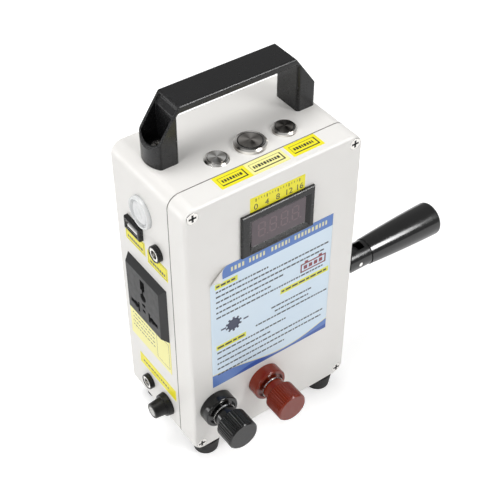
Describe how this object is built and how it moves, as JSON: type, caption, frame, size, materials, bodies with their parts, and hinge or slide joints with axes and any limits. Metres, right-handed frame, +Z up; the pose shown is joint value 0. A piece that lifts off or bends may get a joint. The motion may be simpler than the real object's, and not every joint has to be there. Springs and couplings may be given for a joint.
{
  "type": "hand crank generator",
  "caption": "Box-shaped hand crank generator with carry handle, push buttons, meter, binding posts, outlets and a folding side crank",
  "frame": {"origin": "on the floor, under the centre of the case, between the four feet", "axes": "+Z up, +X towards the crank side, -Y towards the front with the meter and binding posts"},
  "size_m": [0.2387, 0.1058, 0.247],
  "materials": {
    "white_case": "moulded ABS, fine texture",
    "black_plastic": "moulded glass-filled nylon, satin",
    "socket_plastic": "moulded, satin dark grey",
    "gloss_black": "moulded phenolic, glossy",
    "red_plastic": "moulded phenolic, brownish red",
    "rubber": "moulded rubber",
    "stainless": "turned stainless steel",
    "plated_steel": "nickel-plated steel",
    "steel": "machined steel",
    "arm_paint": "black powder-coated steel",
    "bronze": "sintered bronze and brass",
    "gear_plastic": "moulded acetal",
    "board": "glass-fibre circuit board",
    "ferrite": "ferrite and tape",
    "lens": "frosted clear acrylic",
    "window": "smoked acrylic",
    "white_plastic": "moulded white",
    "sticker": "printed adhesive film",
    "yellow_label": "printed adhesive label"
  },
  "bodies": {
    "case": {"rear_shell": "white_case", "front_cover": "white_case", "cover_gasket": "rubber", "cover_screws": "plated_steel", "rubber_feet": "rubber", "foot_screws": "plated_steel", "carry_handle": "black_plastic", "handle_screws": "plated_steel", "panel_nuts": "plated_steel", "small_button_housings": "stainless", "main_button_housing": "stainless", "button_nuts": "plated_steel", "button_springs": "plated_steel", "lamp_lens": "lens", "lamp_board": "board", "usb_port_housing": "black_plastic", "usb_port_shell": "plated_steel", "usb_port_tongue": "white_plastic", "dc_jack_bodies": "plated_steel", "dc_jack_nuts": "black_plastic", "ac_socket": "socket_plastic", "ac_socket_contacts": "bronze", "regulator_body": "black_plastic", "meter_bezel": "black_plastic", "meter_window": "window", "meter_board": "board", "black_post_base": "gloss_black", "red_post_base": "red_plastic", "post_studs": "plated_steel", "info_sticker": "sticker", "marking_labels": "yellow_label", "shaft_bushes": "bronze", "gearbox_plates": "steel", "gearbox_spacers": "steel", "frame_screws": "plated_steel", "generator_can": "steel", "generator_end_cap": "gear_plastic", "power_board": "board", "power_transformer": "ferrite", "board_capacitors": "ferrite"},
    "crank": {"crank_shaft": "steel", "crank_arm": "arm_paint", "crank_screw": "plated_steel", "drive_gear": "gear_plastic"},
    "folding_fork": {"grip_spindle": "gloss_black", "hinge_pin": "plated_steel", "grip_screw": "plated_steel"},
    "turning_grip": {"grip": "gloss_black"},
    "middle_train": {"middle_shaft": "steel", "middle_gear": "gear_plastic"},
    "rotor": {"generator_rotor": "steel", "rotor_pinion": "steel"},
    "lamp_button": {"lamp_button_cap": "stainless"},
    "main_button": {"main_button_cap": "stainless"},
    "usb_button": {"usb_button_cap": "stainless"},
    "black_post_slide": {"black_post_washer": "plated_steel"},
    "black_post_turn": {"black_post_cap": "gloss_black"},
    "red_post_slide": {"red_post_washer": "plated_steel"},
    "red_post_turn": {"red_post_cap": "red_plastic"},
    "regulator": {"regulator_knob": "black_plastic"}
  },
  "joints": [
    {"name": "crank_turn", "type": "hinge", "parent": "case", "child": "crank", "pos_m": [0.06, 0, 0.147], "axis": [1, 0, 0], "continuous": true},
    {"name": "fork_fold", "type": "hinge", "parent": "crank", "child": "folding_fork", "pos_m": [0.0958, 0, 0.0671], "axis": [0, -1, 0], "range_deg": [0, 90]},
    {"name": "grip_turn", "type": "hinge", "parent": "folding_fork", "child": "turning_grip", "pos_m": [0.106, 0, 0.0671], "axis": [1, 0, 0], "continuous": true},
    {"name": "middle_train_turn", "type": "hinge", "parent": "case", "child": "middle_train", "pos_m": [0.04, 0, 0.117], "axis": [1, 0, 0], "continuous": true},
    {"name": "rotor_turn", "type": "hinge", "parent": "case", "child": "rotor", "pos_m": [0.02, 0, 0.147], "axis": [1, 0, 0], "continuous": true},
    {"name": "lamp_button_press", "type": "slide", "parent": "case", "child": "lamp_button", "axis": [0, 0, -1], "range_m": [0, 0.0015], "stiffness_N_per_m": 1600},
    {"name": "main_button_press", "type": "slide", "parent": "case", "child": "main_button", "axis": [0, 0, -1], "range_m": [0, 0.0015], "stiffness_N_per_m": 1600},
    {"name": "usb_button_press", "type": "slide", "parent": "case", "child": "usb_button", "axis": [0, 0, -1], "range_m": [0, 0.0015], "stiffness_N_per_m": 1600},
    {"name": "black_post_travel", "type": "slide", "parent": "case", "child": "black_post_slide", "axis": [0, -1, 0], "range_m": [0, 0.004]},
    {"name": "black_post_unscrew", "type": "hinge", "parent": "black_post_slide", "child": "black_post_turn", "pos_m": [-0.0435, -0.06, 0.0474], "axis": [0, -1, 0], "range_deg": [0, 1800]},
    {"name": "red_post_travel", "type": "slide", "parent": "case", "child": "red_post_slide", "axis": [0, -1, 0], "range_m": [0, 0.004]},
    {"name": "red_post_unscrew", "type": "hinge", "parent": "red_post_slide", "child": "red_post_turn", "pos_m": [-0.0067, -0.06, 0.0474], "axis": [0, -1, 0], "range_deg": [0, 1800]},
    {"name": "regulator_turn", "type": "hinge", "parent": "case", "child": "regulator", "pos_m": [-0.066, -0.007, 0.0301], "axis": [-1, 0, 0], "range_deg": [0, 300]}
  ],
  "couplings": [
    {"joint": "middle_train_turn", "follows": "crank_turn", "ratio": -4},
    {"joint": "rotor_turn", "follows": "crank_turn", "ratio": 16},
    {"joint": "black_post_unscrew", "follows": "black_post_travel", "rad_per_m": 7854},
    {"joint": "red_post_unscrew", "follows": "red_post_travel", "rad_per_m": 7854}
  ]
}
